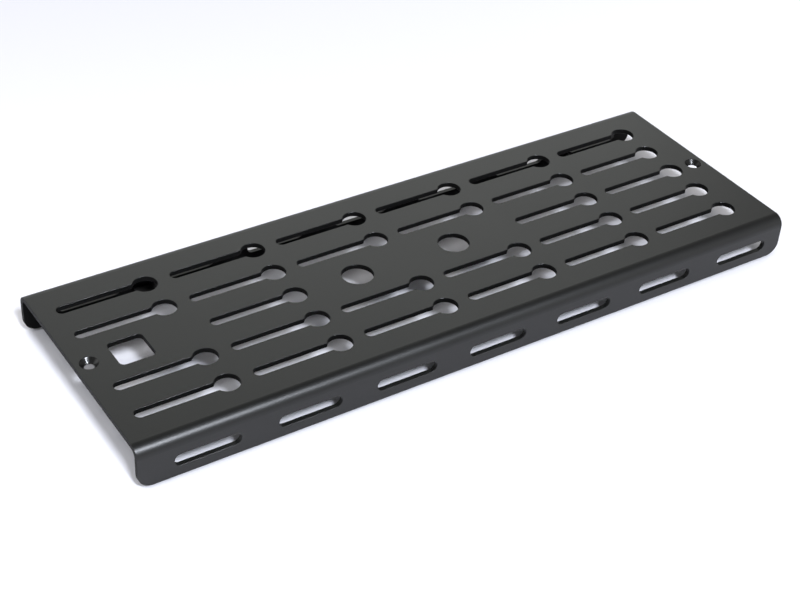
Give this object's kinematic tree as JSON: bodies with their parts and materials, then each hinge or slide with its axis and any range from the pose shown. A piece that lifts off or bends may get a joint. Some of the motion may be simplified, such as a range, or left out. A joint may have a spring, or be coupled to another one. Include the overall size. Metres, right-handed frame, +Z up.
{
  "type": "pedalboard",
  "caption": "Low single-tier floor board for effect pedals: bent metal deck with rows of keyhole slots, slotted front and rear flanges, countersunk end holes and rubber feet.",
  "frame": {"origin": "on the floor, under the middle of the board", "axes": "+X along the board to its right end as its player sees it, +Y to its rear, +Z up"},
  "size_m": [0.42, 0.146, 0.0265],
  "materials": {
    "powder_coat": "fine satin black powder coat on aluminium sheet",
    "foot_rubber": "matt moulded rubber",
    "adhesive_film": "acrylic foam tape"
  },
  "bodies": {
    "root": {"deck_plate": "powder_coat", "foot_front_left": "foot_rubber", "foot_front_right": "foot_rubber", "foot_rear_left": "foot_rubber", "foot_rear_right": "foot_rubber", "adhesive_front_left": "adhesive_film", "adhesive_front_right": "adhesive_film", "adhesive_rear_left": "adhesive_film", "adhesive_rear_right": "adhesive_film"}
  },
  "joints": []
}
